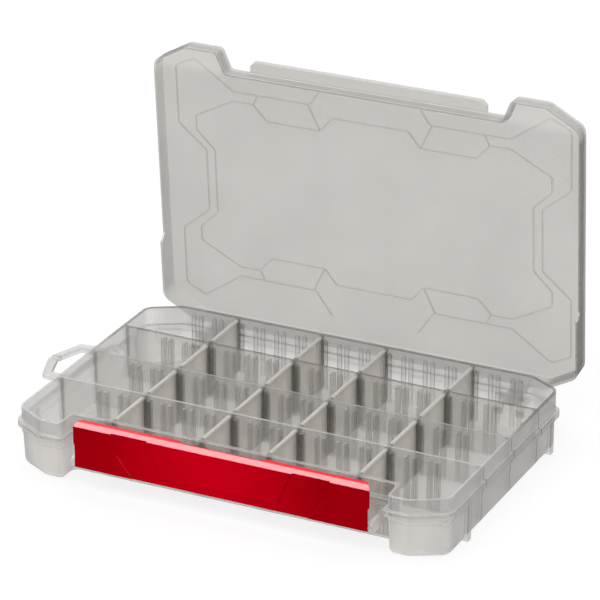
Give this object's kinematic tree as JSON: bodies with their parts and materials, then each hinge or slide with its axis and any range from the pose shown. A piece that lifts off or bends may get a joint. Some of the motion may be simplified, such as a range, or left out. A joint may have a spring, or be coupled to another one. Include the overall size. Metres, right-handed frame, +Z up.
{
  "type": "fishing tackle box",
  "caption": "Shallow clear plastic tackle box with a hinged lid, a wide front latch, a hang loop and lift-out dividers in slotted rows.",
  "frame": {"origin": "centre of the flat underside of the tray", "axes": "+X along the long side to the right, -Y to the front where the latch is, +Z up; the lid stands open and the latch is upright at rest"},
  "size_m": [0.3878, 0.2704, 0.2629],
  "materials": {
    "tray_plastic": "clear moulded plastic, slightly smoky",
    "lid_plastic": "clear moulded plastic, smoky grey",
    "divider_plastic": "clear moulded plastic, smoky grey",
    "latch_plastic": "tinted moulded plastic, glossy"
  },
  "bodies": {
    "base": {"base_tray": "tray_plastic", "hinge_pin_left": "tray_plastic", "hinge_pin_right": "tray_plastic"},
    "lid": {"lid": "lid_plastic"},
    "latch": {"latch": "latch_plastic"},
    "divider_row1_col1": {"divider_row1_col1": "divider_plastic"},
    "divider_row1_col2": {"divider_row1_col2": "divider_plastic"},
    "divider_row1_col3": {"divider_row1_col3": "divider_plastic"},
    "divider_row1_col4": {"divider_row1_col4": "divider_plastic"},
    "divider_row2_col1": {"divider_row2_col1": "divider_plastic"},
    "divider_row2_col2": {"divider_row2_col2": "divider_plastic"},
    "divider_row2_col3": {"divider_row2_col3": "divider_plastic"},
    "divider_row2_col4": {"divider_row2_col4": "divider_plastic"},
    "divider_row3_col1": {"divider_row3_col1": "divider_plastic"},
    "divider_row3_col2": {"divider_row3_col2": "divider_plastic"},
    "divider_row3_col3": {"divider_row3_col3": "divider_plastic"},
    "divider_row3_col4": {"divider_row3_col4": "divider_plastic"},
    "divider_row4_col1": {"divider_row4_col1": "divider_plastic"},
    "divider_row4_col2": {"divider_row4_col2": "divider_plastic"},
    "divider_row4_col3": {"divider_row4_col3": "divider_plastic"},
    "divider_row4_col4": {"divider_row4_col4": "divider_plastic"}
  },
  "joints": [
    {"name": "lid_hinge", "type": "hinge", "parent": "base", "child": "lid", "pos_m": [0, 0.124, 0.0204], "axis": [-1, 0, 0], "range_deg": [-85.7, 0]},
    {"name": "latch_hinge", "type": "hinge", "parent": "base", "child": "latch", "pos_m": [0, -0.1124, 0.0195], "axis": [1, 0, 0], "range_deg": [-3, 100]},
    {"name": "lift_row1_col1", "type": "slide", "parent": "base", "child": "divider_row1_col1", "axis": [0, 0, 1], "range_m": [0, 0.05]},
    {"name": "lift_row1_col2", "type": "slide", "parent": "base", "child": "divider_row1_col2", "axis": [0, 0, 1], "range_m": [0, 0.05]},
    {"name": "lift_row1_col3", "type": "slide", "parent": "base", "child": "divider_row1_col3", "axis": [0, 0, 1], "range_m": [0, 0.05]},
    {"name": "lift_row1_col4", "type": "slide", "parent": "base", "child": "divider_row1_col4", "axis": [0, 0, 1], "range_m": [0, 0.05]},
    {"name": "lift_row2_col1", "type": "slide", "parent": "base", "child": "divider_row2_col1", "axis": [0, 0, 1], "range_m": [0, 0.05]},
    {"name": "lift_row2_col2", "type": "slide", "parent": "base", "child": "divider_row2_col2", "axis": [0, 0, 1], "range_m": [0, 0.05]},
    {"name": "lift_row2_col3", "type": "slide", "parent": "base", "child": "divider_row2_col3", "axis": [0, 0, 1], "range_m": [0, 0.05]},
    {"name": "lift_row2_col4", "type": "slide", "parent": "base", "child": "divider_row2_col4", "axis": [0, 0, 1], "range_m": [0, 0.05]},
    {"name": "lift_row3_col1", "type": "slide", "parent": "base", "child": "divider_row3_col1", "axis": [0, 0, 1], "range_m": [0, 0.05]},
    {"name": "lift_row3_col2", "type": "slide", "parent": "base", "child": "divider_row3_col2", "axis": [0, 0, 1], "range_m": [0, 0.05]},
    {"name": "lift_row3_col3", "type": "slide", "parent": "base", "child": "divider_row3_col3", "axis": [0, 0, 1], "range_m": [0, 0.05]},
    {"name": "lift_row3_col4", "type": "slide", "parent": "base", "child": "divider_row3_col4", "axis": [0, 0, 1], "range_m": [0, 0.05]},
    {"name": "lift_row4_col1", "type": "slide", "parent": "base", "child": "divider_row4_col1", "axis": [0, 0, 1], "range_m": [0, 0.05]},
    {"name": "lift_row4_col2", "type": "slide", "parent": "base", "child": "divider_row4_col2", "axis": [0, 0, 1], "range_m": [0, 0.05]},
    {"name": "lift_row4_col3", "type": "slide", "parent": "base", "child": "divider_row4_col3", "axis": [0, 0, 1], "range_m": [0, 0.05]},
    {"name": "lift_row4_col4", "type": "slide", "parent": "base", "child": "divider_row4_col4", "axis": [0, 0, 1], "range_m": [0, 0.05]}
  ]
}
